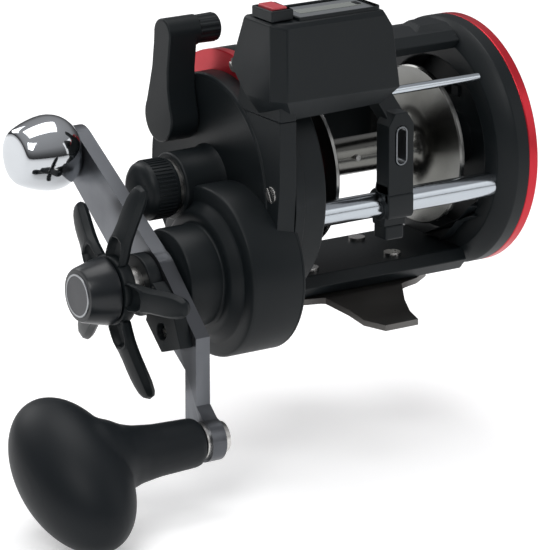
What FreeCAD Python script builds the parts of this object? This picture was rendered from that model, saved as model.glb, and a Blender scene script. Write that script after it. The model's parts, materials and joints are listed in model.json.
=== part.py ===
import FreeCAD, Part
import math
import os
import re

import Sketcher

# Trolling reel with a level wind and a line counter, right-handed.
# Row frame: +Z up, +X from the handle towards the palm plate, -Y where the line leaves.
# Every sub-part is drawn about the spool's axis, which lies along X; its Placement then lifts
# it so that the row's origin is the centre of the foot's underside. Lengths are millimetres.

DIMS = {
    # where the spool's axis lies from the foot's seat
    "spool_x": 7.2, "axis_z": 41.4,
    # rings, plates and covers, as planes across the spool's axis
    "ring_radius": 36.0, "ring_bore": 25.0, "palm_face": 38.0, "palm_back": 35.0, "palm_wall": 27.0,
    "gear_wall": -33.5, "plate_back": -41.0, "plate_face": -44.0, "deck_face": -49.5,
    "cover_face": -49.2, "cover_front": -36.3, "drum_face": -60.0, "boss_face": -62.0, "tower_face": -73.6,
    "rim_bore": 34.0, "shell_wall": 1.3,
    # main shaft
    "main_y": -16.0, "main_z": -21.0, "main_radius": 3.0, "main_bearing_radius": 5.0,
    "drum_radius": 24.0, "tower_radius": 14.1,
    # gears
    "drive_teeth": 51, "pinion_teeth": 10, "wind_teeth": 30, "worm_teeth": 14,
    # spool
    "flange_out": 22.0, "flange_in": 20.4, "flange_radius": 23.0, "arbor_radius": 5.3,
    "spool_shaft_radius": 2.6, "bearing_radius": 5.5,
    # level wind
    "tube_y": -27.5, "tube_z": -6.5, "tube_radius": 3.5, "tube_bore": 2.9, "worm_radius": 2.5,
    "rod_y": -21.5, "rod_z": 23.5, "rod_radius": 1.2, "guide_x": -7.2, "guide_width": 8.4,
    # foot
    "foot_x": -7.2, "foot_depth": 1.8, "foot_reach": 34.5, "foot_drop": 4.4, "tab_start": 27.0,
    # counter
    "case_left": -53.0, "case_right": -12.0, "case_front": -40.0, "case_back": -15.0,
    "case_top": 53.0, "case_roof": 4.0,
    # clutch lever
    "lever_y": 10.7, "lever_z": 17.1, "lever_out": -59.0, "lever_length": 24.0, "peg_radius": 4.3,
    "peg_end": -41.4,
    # crank, measured from the main shaft
    "bar_out": -79.0, "bar_in": -74.6, "hub_radius": 9.6, "eye_y": -27.5, "eye_z": -37.5, "eye_radius": 6.0,
    "bend_y": -22.0, "bend_z": -14.5, "arm_half": 2.8, "weight_y": 41.0, "weight_z": 28.5,
    "weight_radius": 10.9, "weight_long": 18.0,
    # power knob
    "knob_x": -119.5, "knob_drop": 2.0, "knob_half_long": 25.0, "knob_half_wide": 15.0, "knob_lean": 31.0,
    "stem_radius": 6.8, "stem_flare": 1.2,
    # star wheel and nut cap
    "star_out": -92.0, "star_in": -87.5, "star_reach": 31.0, "star_lean": 33.0,
    "tip_out": -87.1, "tip_in": -83.5, "cap_out": -101.0, "cap_in": -92.3,
    # tension knob
    "tension_out": -72.5, "tension_in": -63.0, "tension_radius": 8.2,
}

doc = FreeCAD.newDocument("trolling_reel")
sheet = doc.addObject("Spreadsheet::Sheet", "dims")
for row, (alias, size) in enumerate(DIMS.items(), start=1):
    sheet.set(f"A{row}", alias)
    sheet.set(f"B{row}", str(size))
    sheet.setAlias(f"B{row}", alias)
doc.recompute()

WORD = re.compile(r"[a-z][a-z0-9_]*")
ALONG_X = FreeCAD.Rotation(FreeCAD.Vector(0, 1, 0), 90)
nodes = []


def link(text):
    """Expression text with each alias pointed at the sheet."""
    return WORD.sub(lambda m: "dims." + m.group() if m.group() in DIMS else m.group(), str(text))


def value(text):
    """Present size of an expression, as a number."""
    if isinstance(text, (int, float)):
        return float(text)
    found = sheet.evalExpression(link(text))
    return float(getattr(found, "Value", found))


def bind(obj, sizes):
    """Sets each property to a number, or ties it to the sheet where it is an expression."""
    for name, size in sizes.items():
        if isinstance(size, str):
            obj.setExpression(name, link(size))
        elif name.startswith("."):
            obj.setExpression(name, str(size))
        else:
            setattr(obj, name, size)


def place(obj):
    """Moves a finished sub-part from the spool's axis to the row frame."""
    bind(obj, {".Placement.Base.x": "spool_x", ".Placement.Base.z": "axis_z"})
    nodes.append(obj)
    return obj


def ring_of(y, z, radius):
    """A circle for a sketch."""
    return ("circle", y, z, radius)


def box_of(low_a, low_b, high_a, high_b):
    """A rectangle's corners for a sketch."""
    return [(low_a, low_b), (high_a, low_b), (high_a, high_b), (low_a, high_b)]


def shifted(points, a, b):
    """Points moved by two expressions."""
    return [(f"({pa}) + ({a})", f"({pb}) + ({b})") for pa, pb in points]


class Piece:
    """A PartDesign body made of pads, turned profiles and cuts."""

    def __init__(self, label):
        self.body = doc.addObject("PartDesign::Body", label)
        self.body.Label = label
        self.body.AllowCompound = True
        self.label = label
        place(self.body)

    def plane(self, role):
        return next(f for f in self.body.Origin.OriginFeatures if f.Role == role)

    def sketch(self, role, shapes, offset):
        """A sketch whose every corner, centre and radius has a constraint of its own."""
        sketch = self.body.newObject("Sketcher::SketchObject", self.label + "_sketch")
        sketch.AttachmentSupport = [(self.plane(role), "")]
        sketch.MapMode = "FlatFace"
        for axis, size in zip("xyz", offset):
            sketch.setExpression(f".AttachmentOffset.Base.{axis}", link(size))
        geometry, constraints, formulas = [], [], []
        for shape in shapes:
            first = len(geometry)
            if shape[0] == "circle":
                _, a, b, radius = shape
                centre = FreeCAD.Vector(value(a), value(b), 0)
                geometry.append(Part.Circle(centre, FreeCAD.Vector(0, 0, 1), value(radius)))
                wanted = [("DistanceX", 3, a), ("DistanceY", 3, b)]
                for kind, point, size in wanted:
                    constraints.append(Sketcher.Constraint(kind, first, point, value(size)))
                    formulas.append(size)
                constraints.append(Sketcher.Constraint("Radius", first, value(radius)))
                formulas.append(radius)
                continue
            corners = [FreeCAD.Vector(value(a), value(b), 0) for a, b in shape]
            total = len(corners)
            for i, corner in enumerate(corners):
                geometry.append(Part.LineSegment(corner, corners[(i + 1) % total]))
            for i, (a, b) in enumerate(shape):
                before = first + (i - 1) % total
                constraints.append(Sketcher.Constraint("Coincident", before, 2, first + i, 1))
                formulas.append(None)
                for kind, size in (("DistanceX", a), ("DistanceY", b)):
                    constraints.append(Sketcher.Constraint(kind, first + i, 1, value(size)))
                    formulas.append(size)
        sketch.addGeometry(geometry, False)
        sketch.addConstraint(constraints)
        for i, formula in enumerate(formulas):
            if isinstance(formula, str):
                sketch.setExpression(f"Constraints[{i}]", link(formula))
        return sketch

    def turn(self, profile, y=0, z=0, cut=False):
        """Turns a profile of (x, radius) corners about a line along X through y, z."""
        sketch = self.sketch("XY_Plane", [profile], (0, y, z))
        kind = "PartDesign::Groove" if cut else "PartDesign::Revolution"
        feature = self.body.newObject(kind, self.label + "_turn")
        feature.Profile = sketch
        feature.ReferenceAxis = (sketch, ["H_Axis"])
        feature.Angle = 360
        return feature

    def pad(self, shapes, start, depth, role="YZ_Plane", cut=False):
        """Pads or cuts a sketch from start by depth, along +X, +Y or +Z."""
        backwards = role == "XZ_Plane"
        offset = (0, 0, f"-({start})" if backwards else start)
        sketch = self.sketch(role, shapes, offset)
        kind = "PartDesign::Pocket" if cut else "PartDesign::Pad"
        feature = self.body.newObject(kind, self.label + "_pad")
        feature.Profile = sketch
        feature.Type = "Length"
        bind(feature, {"Length": depth})
        feature.Reversed = cut != backwards
        return feature

    def star_of(self, feature, sketch, count):
        """Repeats a pad about the sketch's own normal."""
        pattern = self.body.newObject("PartDesign::PolarPattern", self.label + "_pattern")
        pattern.Originals = [feature]
        pattern.Axis = (sketch, ["N_Axis"])
        pattern.Angle = 360
        pattern.Occurrences = count
        self.body.Tip = pattern
        return pattern


def pins(label, places, radius, start, length, across="X"):
    """A group of like round pins, each a solid of its own, at (a, b) places across their axis."""
    found = []
    for a, b in places:
        pin = doc.addObject("Part::Cylinder", label + "_pin")
        bind(pin, {"Radius": radius, "Height": length})
        if across == "X":
            pin.Placement = FreeCAD.Placement(FreeCAD.Vector(), ALONG_X)
            spots = (start, a, b)
        else:
            spots = (a, b, start)
        for axis, size in zip("xyz", spots):
            pin.setExpression(f".Placement.Base.{axis}", link(size))
        found.append(pin)
    group = doc.addObject("Part::Compound", label)
    group.Label = label
    group.Links = found
    return place(group)


def washers(label, y, z, radius, bore, spans):
    """A stack of flat rings about a line along X; spans are (start, depth)."""
    stack = Piece(label)
    for start, depth in spans:
        stack.pad([ring_of(y, z, radius), ring_of(y, z, bore)], start, depth)
    return stack


def involute(base, radius):
    """Polar angle of an involute of a base circle where it reaches a radius."""
    if radius <= base:
        return 0.0
    pressure = math.acos(base / radius)
    return math.tan(pressure) - pressure


def gear_shape(teeth, module, bore, start, width, towards, gap):
    """A spur gear about the X axis with 25 degree involute teeth and a little backlash.

    towards is the angle of the mating gear's centre; a tooth points there, or a gap does.
    """
    addendum, dedendum, backlash, pressure = 0.7, 0.95, 0.14, math.radians(25)
    pitch = module * teeth / 2
    base = pitch * math.cos(pressure)
    tip = pitch + addendum * module
    root = pitch - dedendum * module
    at_pitch = involute(base, pitch)
    half = math.pi / (2 * teeth) - backlash / (2 * pitch)
    levels = [root, max(root, base) + 0.05 * module, pitch, (pitch + tip) / 2, tip]
    corners = []
    for i in range(teeth):
        middle = towards + 2 * math.pi * (i + (0.5 if gap else 0.0)) / teeth
        flank = [(r, half + at_pitch - involute(base, r)) for r in levels]
        for r, lean in flank:
            corners.append((r, middle - lean))
        for r, lean in reversed(flank):
            corners.append((r, middle + lean))
    points = [FreeCAD.Vector(start, r * math.cos(a), r * math.sin(a)) for r, a in corners]
    blank = Part.Face(Part.makePolygon(points + points[:1])).extrude(FreeCAD.Vector(width, 0, 0))
    hole = Part.makeCylinder(bore, width, FreeCAD.Vector(start, 0, 0), FreeCAD.Vector(1, 0, 0))
    return blank.cut(hole)


def feature(label, shape, y=0.0, z=0.0):
    """A sub-part whose shape is made in code; its Placement follows."""
    obj = doc.addObject("Part::Feature", label)
    obj.Label = label
    obj.Shape = shape
    obj.Placement = FreeCAD.Placement(
        FreeCAD.Vector(value("spool_x"), y, value("axis_z") + z), FreeCAD.Rotation())
    nodes.append(obj)
    return obj


def make_frame():
    """Frame, foot, side plates and the spool's bearings."""
    rim = ring_of(0, 0, "ring_radius")
    bore = ring_of(0, 0, "ring_bore")
    frame = Piece("main_frame")
    frame.pad([rim, bore], "plate_back", "gear_wall - plate_back")
    frame.pad([rim, bore], "palm_wall", "palm_back - palm_wall")
    inside = ("gear_wall - 1", "palm_wall - gear_wall + 2")
    frame.pad([box_of(-16, "foot_depth + foot_drop - axis_z", 16, "-28.5")], *inside)
    frame.pad([box_of(27, -7, 33.5, 7)], *inside)
    frame.pad([box_of(-8, 29.5, 8, 34.6)], *inside)
    frame.pad([ring_of("tube_y", "tube_z", "worm_radius + 0.4")], "plate_back - 1",
              "gear_wall - plate_back + 2", cut=True)
    rivets = [("foot_x - 14", -9), ("foot_x - 14", 9), ("foot_x + 14", -9), ("foot_x + 14", 9)]
    frame.pad([ring_of(x, y, 1.3) for x, y in rivets], -38, 12, role="XY_Plane", cut=True)

    foot = Piece("reel_foot")
    level, top = "foot_drop - axis_z", "foot_drop + foot_depth - axis_z"
    under = [(15, level), ("tab_start", "-axis_z"), ("foot_reach", "-axis_z")]
    over = [("foot_reach", "foot_depth - axis_z"), ("tab_start", "foot_depth - axis_z"), (15.2, top)]
    section = under + over
    foot.pad([section + [(f"-({y})", z) for y, z in reversed(section)]], "foot_x - 23", 50)
    tongue = [(5.5, "-foot_reach"), (9.5, -22), (13, -15.5), (19.5, -13.5)]
    ears = {"right": 25.9, "left": 22.6}
    right, left = [half + [(x, f"-({y})") for x, y in reversed(half)]
                   for half in (tongue + [(ear, -9)] for ear in ears.values())]
    left = [(f"-({x})", y) for x, y in reversed(left)]
    outside = box_of("foot_x - 40", -50, "foot_x + 40", 50)
    foot.pad([outside, shifted(right + left, "foot_x", 0)], "-axis_z - 1", 10, role="XY_Plane", cut=True)
    foot.pad([ring_of(x, y, 1.3) for x, y in rivets], f"{level} - 1", 5, role="XY_Plane", cut=True)
    shanks = Piece("foot_rivets")
    shanks.pad([ring_of(x, y, 1.3) for x, y in rivets], level, "axis_z - foot_drop - 28.5", role="XY_Plane")
    shanks.pad([ring_of(x, y, 2.4) for x, y in rivets], -28.5, 0.9, role="XY_Plane")

    plate = Piece("palm_side_plate")
    plate.turn([(30, 5.5), (30, 8), ("palm_back", 8), ("palm_back", "rim_bore"),
                ("palm_face", "rim_bore"), ("palm_face", 30.5), (42, 24), (43, 0), (35.8, 0), (35.8, 5.5)])
    plate.pad([box_of(-2, 12.3, 6, 15.7)], 34, 12, cut=True)
    rim_piece = Piece("palm_rim")
    rim_piece.pad([rim, ring_of(0, 0, "rim_bore")], "palm_back", "palm_face - palm_back")

    side = Piece("gear_side_plate")
    side.pad([rim], "plate_face", "plate_back - plate_face")
    side.pad([ring_of(0, 0, 8)], "plate_back", 4.5)
    side.pad([ring_of(0, 0, "bearing_radius")], "plate_back", 6, cut=True)
    side.pad([box_of(-40, -20.3, -32.7, 24.3)], "plate_face - 1", 5, cut=True)
    side.pad([ring_of(0, 0, 4.3)], "plate_face - 1", 5, cut=True)
    side.pad([ring_of("main_y", "main_z", "main_radius + 0.08")], "plate_face - 1", 5, cut=True)
    side.pad([ring_of("tube_y", "tube_z", "worm_radius + 0.4")], "plate_face - 1", 5, cut=True)
    pins("plate_screws", [(-6, 33.4), (24, 23.4), (33.4, 5), (28.5, -18.5)], 2.0, "plate_face - 0.9", 0.9)
    washers("spool_bearings", 0, 0, "bearing_radius", "spool_shaft_radius + 0.05",
            [(31, 4), ("plate_back + 0.2", 4)])


def make_housing():
    """Gear housing that screws over the left plate, with its bearing, screws and click washers."""
    cover = Piece("gear_housing")
    main = ("main_y", "main_z")
    cover.turn([("plate_face", 0), ("plate_face", "drum_radius"), ("drum_face + 1.5", "drum_radius"),
                ("drum_face", "drum_radius - 1.5"), ("drum_face", 18.7), ("drum_face - 3", 17.2),
                ("drum_face - 3", "tower_radius"), ("tower_face + 1", "tower_radius"),
                ("tower_face", "tower_radius - 1"), ("tower_face", 0)], *main)
    cover.pad([ring_of(0, 0, 31)], "deck_face", "plate_face - deck_face")
    slab = [("cover_front", 24), (-15, 24), (-9.5, 10), (9, 9.5), (9.5, -8), (0, -20), ("cover_front", -20)]
    cover.pad([slab], "cover_face", "plate_face - cover_face")
    cover.pad([ring_of(0, 0, 9.5)], "boss_face", "plate_face - boss_face")
    room = [(-35, 22), (-17, 22), (-11, 8.5), (7.5, 8), (8, -7), (-1, -19), (-35, -19)]
    inner = "plate_face - cover_face - shell_wall"
    cover.pad([room], "cover_face + shell_wall", inner + " + 1", cut=True)
    cover.pad([ring_of(*main, "drum_radius - 1.1")], "drum_face + 1.4", 16, cut=True)
    cover.pad([ring_of(0, 0, 8.2)], "boss_face + 1.8", 18, cut=True)
    cover.pad([ring_of("lever_y", "lever_z", 8)], "plate_face - 3", 4, cut=True)
    cover.pad([[(-7, 7), (2, 18), (14, 12), (8, 0)]], "plate_face - 4.6", 5.6, cut=True)
    cover.pad([ring_of("lever_y", "lever_z", 3.0)], "deck_face - 1", 6, cut=True)
    cover.pad([ring_of(*main, "main_bearing_radius")], "tower_face - 1", 18, cut=True)
    cover.pad([ring_of(0, 0, 4)], "boss_face - 1", 5, cut=True)
    screw_y, screw_z, screw_seat = -32, 3.1, "cover_face + 0.6"
    cover.pad([ring_of(screw_y, screw_z, 3.3)], "deck_face - 1", f"{screw_seat} - deck_face + 1", cut=True)
    cover.pad([ring_of(*main, "drum_radius")], "plate_face", 1.0)
    cover.pad([ring_of(0, 0, "ring_radius + 0.05")], "plate_face", 1.5, cut=True)
    cover.pad([box_of("cover_front", -20, -33, 24)], "plate_face", "plate_back - plate_face")
    washers("main_bearing", *main, "main_bearing_radius", "main_radius + 0.05",
            [("tower_face + 0.4", 5)])
    pins("cover_screws", [(screw_y, screw_z)], 2.3, "cover_face - 0.2", 0.8)
    washers("tension_washers", 0, 0, 7.6, 4, [("boss_face - 0.45", 0.45), ("boss_face - 0.95", 0.45)])


def make_counter():
    """Line counter: case, bezel, window, board, battery, display and reset button."""
    case = Piece("counter_case")
    profile = [("case_front", 30.5), ("case_front", "case_top - 1.5"), ("case_front + 1.5", "case_top"),
               ("case_back - 8", "case_top"), ("case_back", 36), ("case_back", 28),
               (-28, 24.02), (-33, 24.02)]
    width = "case_right - case_left"
    case.pad([profile], "case_left", width)
    case.pad([box_of("case_left + 0.8", -37, -45.2, -26.8)], "case_top - 1", 3.4, role="XY_Plane")
    case.pad([ring_of(0, 0, "ring_radius + 0.05")], "plate_face - 5", 45, cut=True)
    case.pad([box_of(-45, -38, -14, -24.5)], 37.5, "case_top - case_roof - 37.5", role="XY_Plane", cut=True)
    case.pad([box_of(-38, -37, -15, -25)], "case_top - 2.5", 4, role="XY_Plane", cut=True)
    case.pad([box_of(-51.3, -36.1, -46.1, -27.7)], "case_top - 1.5", 8, role="XY_Plane", cut=True)
    sight = box_of(-35.5, -33, -22, -29)
    case.pad([sight], "case_top - case_roof - 1", 4, role="XY_Plane", cut=True)
    bezel = Piece("counter_bezel")
    bezel.pad([box_of(-38, -37, -15, -25)], "case_top - 2.5", 1.7, role="XY_Plane")
    bezel.pad([box_of(-36.5, -34, -21, -28)], "case_top - 1.6", 2, role="XY_Plane", cut=True)
    bezel.pad([sight], "case_top - 3", 3, role="XY_Plane", cut=True)
    lens = Piece("counter_window")
    lens.pad([box_of(-36.5, -34, -21, -28)], "case_top - 1.6", 0.8, role="XY_Plane")
    board = Piece("counter_board")
    board.pad([box_of(-44.7, -37.7, -14.3, -24.8)], 37.5, 1.5, role="XY_Plane")
    battery = Piece("counter_battery")
    battery.pad([ring_of(-38, -30.8, 6)], 39, 3.2, role="XY_Plane")
    display = Piece("counter_display")
    display.pad([box_of(-37, -35, -20, -27)], "case_top - case_roof - 2.2", 2.2, role="XY_Plane")
    button = Piece("reset_button")
    button.pad([box_of(-51, -35.8, -46.4, -28)], "case_top - 0.3", 3.3, role="XY_Plane")


def make_level_wind():
    """Slotted tube, worm shaft, guide rod and the line guide with its pawl."""
    tube = Piece("level_wind_tube")
    here = ("tube_y", "tube_z")
    span = "palm_wall - gear_wall"
    tube.pad([ring_of(*here, "tube_radius"), ring_of(*here, "tube_bore")], "gear_wall", span)
    tube.pad([box_of(-22.5, "tube_y - 1.6", 21, "tube_y + 1.6")], -11, 3, role="XY_Plane", cut=True)
    worm = Piece("worm_shaft")
    worm.pad([ring_of(*here, "worm_radius")], -47.5, 74.1)
    washers("worm_bushes", *here, "tube_bore", "worm_radius + 0.05", [("gear_wall", 2.5), (24.4, 2.4)])
    rod = Piece("guide_rod")
    rod.pad([ring_of("rod_y", "rod_z", "rod_radius")], "gear_wall", span)

    guide = Piece("line_guide")
    outline = [(-33, -2), (-33, 17), (-30.5, 20.5), (-24, 25.7), (-19, 25.7), (-18.6, 21.5), (-24.5, 17),
               (-26.5, 8), (-26.5, 0), (-23.4, -2.6), (-22.9, -6.5), (-24.4, -12.4), (-31, -12.4), (-33.5, -7)]
    guide.pad([outline], "guide_x - guide_width / 2", "guide_width")
    guide.pad([ring_of(*here, "tube_radius + 0.08")], "guide_x - 6", 12, cut=True)
    guide.pad([ring_of("rod_y", "rod_z", "rod_radius + 0.08")], "guide_x - 6", 12, cut=True)
    eye = box_of("guide_x - 1.9", 5.6, "guide_x + 1.9", 16.6)
    guide.pad([eye], -35, 12, role="XZ_Plane", cut=True)
    guide.pad([ring_of("guide_x", "tube_y", 1.3)], -13, 4, role="XY_Plane", cut=True)
    ring = Piece("guide_ring")
    ring.pad([eye, box_of("guide_x - 0.9", 6.8, "guide_x + 0.9", 15.4)], -33.4, 6.6, role="XZ_Plane")
    pins("pawl", [("guide_x", "tube_y")], 1.25, -12.4, 3.1, across="Z")
    pins("pawl_cap", [("guide_x", "tube_y")], 3.1, -16.6, 4.2, across="Z")


def make_spool():
    """Spool on its shaft, with the pin that ties the line and the click gear."""
    spool = Piece("spool")
    half = [("flange_out", "flange_radius"), ("flange_in", "flange_radius"), ("flange_in - 0.9", 9.5),
            ("flange_in - 3.2", 6.3), ("flange_in - 6.4", "arbor_radius")]
    shaft = "spool_shaft_radius"
    profile = [("flange_out", shaft)] + half + [(f"-({x})", r) for x, r in reversed(half)]
    spool.turn(profile + [("-flange_out", shaft)])
    tie_x, tie_z, tie_radius = -3.2, 0.8, 0.8
    spool.pad([ring_of(tie_x, tie_z, tie_radius)], -5.9, 1.4, role="XZ_Plane", cut=True)
    rod = Piece("spool_shaft")
    rod.pad([ring_of(0, 0, shaft)], -60, 95.6)
    tie = Piece("line_tie_pin")
    tie.pad([ring_of(tie_x, tie_z, tie_radius)], -6.4, 1.9, role="XZ_Plane")
    washers("click_gear", 0, 0, 6, shaft, [("flange_out", 1.4)])


def make_gears():
    """Gear train, drag stack and the ratchet with its dog."""
    main = (value("main_y"), value("main_z"))
    worm = (value("tube_y") - main[0], value("tube_z") - main[1])
    drive_module = 2 * math.hypot(*main) / (DIMS["drive_teeth"] + DIMS["pinion_teeth"])
    wind_module = 2 * math.hypot(*worm) / (DIMS["wind_teeth"] + DIMS["worm_teeth"])
    to_spool = math.atan2(-main[1], -main[0])
    to_worm = math.atan2(worm[1], worm[0])
    shaft = value("main_radius")
    drive = gear_shape(DIMS["drive_teeth"], drive_module, shaft, -57.4, 4.0, to_spool, False)
    recess = Part.makeCylinder(12, 2.4, FreeCAD.Vector(-57.4, 0, 0), FreeCAD.Vector(1, 0, 0))
    feature("drive_gear", drive.cut(recess), *main)
    feature("wind_gear", gear_shape(DIMS["wind_teeth"], wind_module, shaft, -47.3, 2.4, to_worm, False), *main)
    feature("worm_gear", gear_shape(DIMS["worm_teeth"], wind_module, value("worm_radius"), -47.3, 2.4,
                                    to_worm + math.pi, True), value("tube_y"), value("tube_z"))
    bore = value("spool_shaft_radius") + 0.06
    pinion = gear_shape(DIMS["pinion_teeth"], drive_module, bore, -57.6, 6.6, to_spool + math.pi, True)
    sleeve = [(-51.0, 3.9), (-46.4, 3.3), (-44.6, 3.9)]
    for (start, radius), stop in zip(sleeve, (-46.4, -44.6, -43.6)):
        solid = Part.makeCylinder(radius, stop - start, FreeCAD.Vector(start, 0, 0), FreeCAD.Vector(1, 0, 0))
        core = Part.makeCylinder(bore, stop - start, FreeCAD.Vector(start, 0, 0), FreeCAD.Vector(1, 0, 0))
        pinion = pinion.fuse(solid.cut(core))
    feature("pinion_gear", pinion.removeSplitter())
    washers("drag_washers", "main_y", "main_z", 11.7, "main_radius", [(-57.3, 0.7), (-55.7, 0.6)])
    washers("drag_plates", "main_y", "main_z", 11.4, "main_radius", [(-56.5, 0.7)])
    teeth = 12
    ratchet = []
    for i in range(teeth):
        turn = 2 * math.pi * i / teeth
        ratchet += [(7.9, turn), (6.6, turn + 0.06)]
    points = [FreeCAD.Vector(-51, r * math.cos(a), r * math.sin(a)) for r, a in ratchet]
    wheel = Part.Face(Part.makePolygon(points + points[:1])).extrude(FreeCAD.Vector(1.6, 0, 0))
    hole = Part.makeCylinder(shaft, 1.6, FreeCAD.Vector(-51, 0, 0), FreeCAD.Vector(1, 0, 0))
    feature("ratchet_wheel", wheel.cut(hole), *main)
    dog = Piece("anti_reverse_dog")
    dog.pad([[(-28.5, -34), (-31, -31.5), (-23.7, -25.6), (-22.4, -26.4)]], -50.9, 1.4)
    dog.pad([ring_of(-30, -33, 2.6)], -50.9, 1.4)
    dog.pad([ring_of(-30, -33, 1.06)], -52, 4, cut=True)
    pins("dog_pin", [(-30, -33)], 1.0, -51.4, "plate_face + 51.4")


def make_clutch():
    """Lever, cam and the yoke that draws the pinion off the spool."""
    lever = Piece("clutch_lever")
    top = "lever_z + lever_length"
    thick = "deck_face - 0.4 - lever_out"
    waist = [("lever_y - 5.6", "lever_z + 4.4"), ("lever_y - 4.4", "lever_z + 12"), ("lever_y - 6.6", top),
             ("lever_y + 2", top), ("lever_y + 2", "lever_z + 12"), ("lever_y + 5.6", "lever_z + 4.4")]
    lever.pad([waist], "lever_out", thick)
    lever.pad([ring_of("lever_y", "lever_z", 7.2)], "lever_out", thick)
    lever.pad([ring_of("lever_y - 2.3", top, "peg_radius")], "lever_out", "peg_end - lever_out")
    lever.pad([ring_of("lever_y", "lever_z", 2.94)], "deck_face - 1", 5.2)
    cam = Piece("clutch_cam")
    cam.pad([ring_of("lever_y", "lever_z", 5)], -46.3, 1.9)
    cam.pad([ring_of("lever_y", "lever_z", 2.94)], -47, 4, cut=True)
    yoke = Piece("clutch_yoke")
    yoke.pad([[(-5.6, -5.6), (5.6, -5.6), (7.4, 2), (6.2, 8.6), (1, 8), (-5.6, 5)],
              ring_of(0, 0, 3.5)], -46.2, 1.4)


def make_crank():
    """Handle with its counterweight and lock, the star wheel and the nut cap."""
    main = ("main_y", "main_z")
    shaft = Piece("main_shaft")
    shaft.turn([(-41.2, 0), (-41.2, "main_radius"), (-97, "main_radius"), (-97, 0)], *main)
    bar = Piece("handle_bar")
    thick = "bar_in - bar_out"
    upper = [(-4, -9.2), ("bend_y + arm_half", "bend_z - 5.2"), ("bend_y - arm_half", "bend_z + 5"), (-6, 7.5)]
    lower = [("bend_y + arm_half", "bend_z - 5.2"), ("bend_y + arm_half", "eye_z + 4"),
             ("bend_y - arm_half", "eye_z + 4"), ("bend_y - arm_half", "bend_z + 5")]
    neck = [("bend_y + arm_half", "eye_z + 7"), ("eye_y + 5", "eye_z - 2"), ("eye_y - 5.5", "eye_z + 2"),
            ("bend_y - arm_half", "eye_z + 9")]
    short = [(-3, 9), ("weight_y - 3.7", "weight_z + 5.3"), ("weight_y + 3.7", "weight_z - 5.3"), (9, -3)]
    eye = ("main_y + eye_y", "main_z + eye_z")
    bar.pad([ring_of(*main, "hub_radius")], "bar_out", thick)
    for outline in (upper, lower, neck, short):
        bar.pad([shifted(outline, *main)], "bar_out", thick)
    bar.pad([ring_of(*eye, "eye_radius")], "bar_out", thick)
    bar.pad([ring_of("main_y + weight_y", "main_z + weight_z", 6.4)], "bar_out", thick)
    bar.pad([ring_of(*main, "main_radius")], "bar_out - 1", 8, cut=True)
    bar.pad([ring_of(*eye, 2.0)], "bar_out - 1", 8, cut=True)
    block = Piece("lock_block")
    plan = [(-5.3, -8.5), (-13.4, -15.6), (-23.5, -12), (-20, -4), (-9, 3)]
    block.pad([shifted(plan, *main)], "bar_out - 4", 4)
    block.pad([ring_of(*main, 8.7)], "bar_out - 5", 6, cut=True)
    block.pad([ring_of("main_y - 13.7", "main_z - 9.6", 2.4)], "bar_out - 5", 6, cut=True)
    washers("handle_collar", *main, 8.6, "main_radius", [("bar_out - 4", 4)])
    washers("star_nut", *main, 5.2, "main_radius", [("bar_out - 7.9", 3.9)])
    pins("lock_screw", [("main_y - 13.7", "main_z - 9.6")], 2.0, "bar_out - 2.4", 2.4)
    weight = Piece("counterweight")
    barrel = [(0, 7.6), (2.5, 9.9), (6.6, "weight_radius"), (14.5, 9.2), ("weight_long", 7.2)]
    weight.turn([("bar_out", 0)] + [(f"bar_out - {back}", radius) for back, radius in barrel]
                + [("bar_out - weight_long", 0)], "main_y + weight_y", "main_z + weight_z")
    nut = Piece("handle_nut")
    nut.pad([ring_of(*main, 5), ring_of(*main, "main_radius")], -97, 4.4)
    cap = Piece("nut_cap")
    cap.turn([("cap_out", 0), ("cap_out", 7), ("cap_in - 0.8", 9.3), ("cap_in", 9.3), ("cap_in", 5),
              (-97.2, 5), (-97.2, 0)], *main)
    badge = Piece("cap_badge")
    badge.turn([("cap_out", 0), ("cap_out", 6), ("cap_out - 0.3", 5.8), ("cap_out - 0.3", 0)], *main)
    spindle = Piece("knob_spindle")
    spindle.turn([(-72.4, 0), (-72.4, 4.4), ("bar_in", 5.0), ("bar_in", 2.0), (-114, 2.0), (-114, 0)], *eye)
    washers("knob_washers", *eye, 5.2, 2.0, [("bar_out - 1", 1)])
    star = Piece("star_wheel")
    star.pad([ring_of(*main, 8.8)], "star_out", "star_in - star_out")
    reach = [(7, -3.6), (16, -3.4), ("star_reach - 5", -3.2), ("star_reach", -1.2), ("star_reach", 2.2),
             ("star_reach - 6", 3.2), (16, 3.0), (7, 3.6)]
    arm = star.pad([reach], "star_out", "tip_in - star_out")
    turned = FreeCAD.Rotation(FreeCAD.Vector(0, 0, 1), value("star_lean"))
    arm.Profile[0].AttachmentOffset = FreeCAD.Placement(FreeCAD.Vector(), turned)
    arm.Profile[0].setExpression(".AttachmentOffset.Base.x", link("main_y"))
    arm.Profile[0].setExpression(".AttachmentOffset.Base.y", link("main_z"))
    arm.Profile[0].setExpression(".AttachmentOffset.Base.z", link("star_out"))
    star.star_of(arm, arm.Profile[0], 5)
    star.turn([("star_out - 2", 9), ("star_out", 9), ("star_out + 0.7", 16), ("star_out + 2.2", 24),
               ("tip_out", "star_reach + 2"), ("star_out - 2", "star_reach + 2")], *main, cut=True)
    star.turn([("tip_in + 1", 0), ("star_in", 0), ("star_in", 9), ("star_in + 0.6", 16), ("star_in + 1.9", 24),
               ("tip_in", "star_reach + 1"), ("tip_in + 1", "star_reach + 1")], *main, cut=True)
    star.pad([ring_of(*main, "main_radius + 0.06")], "star_out - 1", 10, cut=True)


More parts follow.
